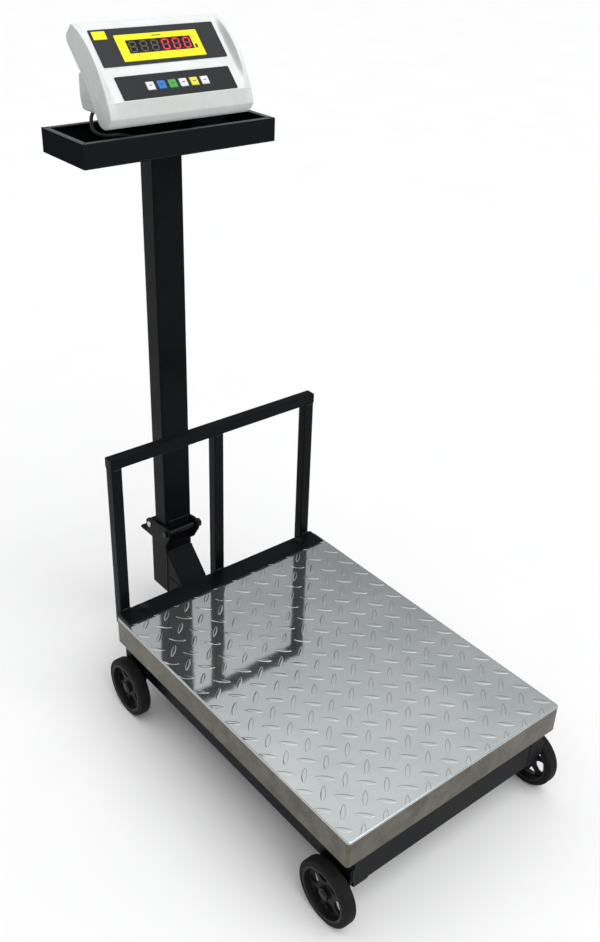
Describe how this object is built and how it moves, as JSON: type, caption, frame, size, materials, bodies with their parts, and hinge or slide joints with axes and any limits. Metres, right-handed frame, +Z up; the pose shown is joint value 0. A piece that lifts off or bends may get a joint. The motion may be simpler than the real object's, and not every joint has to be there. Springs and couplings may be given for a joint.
{
  "type": "platform shipping scale",
  "caption": "Wheeled platform scale with a chequer-plate deck, a tubular rear guard and a folding column that carries a tray with a sloping digital indicator.",
  "frame": {"origin": "on the floor, under the middle of the scale's bounding box", "axes": "+Z up; +X to the right seen from the front of the deck; +Y from the deck towards the column"},
  "size_m": [0.469, 0.86, 1.1272],
  "materials": {
    "chequer_steel": "bright rolled stainless with raised chequer marks",
    "black_paint": "satin black paint",
    "primed_steel": "matte dark primer",
    "aluminium": "machined",
    "zinc_steel": "bright zinc plating",
    "black_wheel": "moulded black",
    "tyre_rubber": "matte black",
    "white_plastic": "off-white, fine texture",
    "display_film": "printed film",
    "display_red": "red digit segments on black",
    "circuit_board": "green laminate",
    "key_white": "smooth",
    "key_blue": "smooth",
    "key_green": "smooth",
    "key_yellow": "smooth",
    "black_plastic": "moulded black",
    "cable_jacket": "smooth black jacket"
  },
  "bodies": {
    "base": {"deck_plate": "chequer_steel", "deck_rail_left": "primed_steel", "deck_rail_right": "primed_steel", "deck_cross_front": "primed_steel", "deck_cross_rear": "primed_steel", "deck_centre_beam": "primed_steel", "base_centre_beam": "primed_steel", "load_cell": "aluminium", "load_cell_clamp_upper": "zinc_steel", "load_cell_clamp_lower": "zinc_steel", "fold_pin": "zinc_steel", "base_rail_left": "black_paint", "base_rail_right": "black_paint", "base_cross_front": "black_paint", "base_cross_rear": "black_paint", "axle_front_left": "black_paint", "axle_front_right": "black_paint", "axle_rear_left": "black_paint", "axle_rear_right": "black_paint", "guard_top_rail": "black_paint", "guard_post_left": "black_paint", "guard_post_middle": "black_paint", "guard_post_right": "black_paint", "guard_foot_bar": "black_paint", "guard_bolt_left": "black_paint", "guard_bolt_right": "black_paint", "column_arm": "black_paint", "column_stub": "black_paint", "column_brace": "black_paint", "hinge_saddle": "black_paint", "cable_in_base": "cable_jacket"},
    "column": {"column": "black_paint", "tray_floor": "black_paint", "tray_frame": "black_paint", "indicator_stand": "black_paint", "indicator_front_shell": "white_plastic", "indicator_rear_shell": "white_plastic", "display_overlay": "display_film", "keypad_overlay": "display_film", "led_display": "display_red", "main_board": "circuit_board", "cable_gland": "black_plastic", "cable_in_column": "cable_jacket"},
    "clamp": {"clamp_rod": "zinc_steel", "clamp_knob": "black_plastic"},
    "wheel_front_left": {"wheel_front_left": "black_wheel", "tyre_front_left": "tyre_rubber"},
    "wheel_front_right": {"wheel_front_right": "black_wheel", "tyre_front_right": "tyre_rubber"},
    "wheel_rear_left": {"wheel_rear_left": "black_wheel", "tyre_rear_left": "tyre_rubber"},
    "wheel_rear_right": {"wheel_rear_right": "black_wheel", "tyre_rear_right": "tyre_rubber"},
    "key_1": {"key_1": "key_white"},
    "key_2": {"key_2": "key_blue"},
    "key_3": {"key_3": "key_green"},
    "key_4": {"key_4": "key_white"},
    "key_5": {"key_5": "key_yellow"},
    "key_6": {"key_6": "key_white"},
    "power_switch": {"power_switch": "black_plastic"}
  },
  "joints": [
    {"name": "column_fold", "type": "hinge", "parent": "base", "child": "column", "pos_m": [0, 0.397, 0.208], "axis": [-1, 0, 0], "range_deg": [0, 90]},
    {"name": "clamp_turn", "type": "hinge", "parent": "base", "child": "clamp", "pos_m": [0, 0.338, 0.215], "axis": [1, 0, 0], "range_deg": [0, 90]},
    {"name": "spin_front_left", "type": "hinge", "parent": "base", "child": "wheel_front_left", "pos_m": [-0.2235, -0.376, 0.054], "axis": [1, 0, 0], "continuous": true},
    {"name": "spin_front_right", "type": "hinge", "parent": "base", "child": "wheel_front_right", "pos_m": [0.2235, -0.376, 0.054], "axis": [1, 0, 0], "continuous": true},
    {"name": "spin_rear_left", "type": "hinge", "parent": "base", "child": "wheel_rear_left", "pos_m": [-0.2235, 0.171, 0.054], "axis": [1, 0, 0], "continuous": true},
    {"name": "spin_rear_right", "type": "hinge", "parent": "base", "child": "wheel_rear_right", "pos_m": [0.2235, 0.171, 0.054], "axis": [1, 0, 0], "continuous": true},
    {"name": "press_key_1", "type": "slide", "parent": "column", "child": "key_1", "axis": [0, 0.712, -0.7022], "range_m": [0, 0.0006], "stiffness_N_per_m": 3000},
    {"name": "press_key_2", "type": "slide", "parent": "column", "child": "key_2", "axis": [0, 0.712, -0.7022], "range_m": [0, 0.0006], "stiffness_N_per_m": 3000},
    {"name": "press_key_3", "type": "slide", "parent": "column", "child": "key_3", "axis": [0, 0.712, -0.7022], "range_m": [0, 0.0006], "stiffness_N_per_m": 3000},
    {"name": "press_key_4", "type": "slide", "parent": "column", "child": "key_4", "axis": [0, 0.712, -0.7022], "range_m": [0, 0.0006], "stiffness_N_per_m": 3000},
    {"name": "press_key_5", "type": "slide", "parent": "column", "child": "key_5", "axis": [0, 0.712, -0.7022], "range_m": [0, 0.0006], "stiffness_N_per_m": 3000},
    {"name": "press_key_6", "type": "slide", "parent": "column", "child": "key_6", "axis": [0, 0.712, -0.7022], "range_m": [0, 0.0006], "stiffness_N_per_m": 3000},
    {"name": "rock_switch", "type": "hinge", "parent": "column", "child": "power_switch", "pos_m": [0.08, 0.39275, 1.037], "axis": [1, 0, 0], "range_deg": [0, 18]}
  ]
}
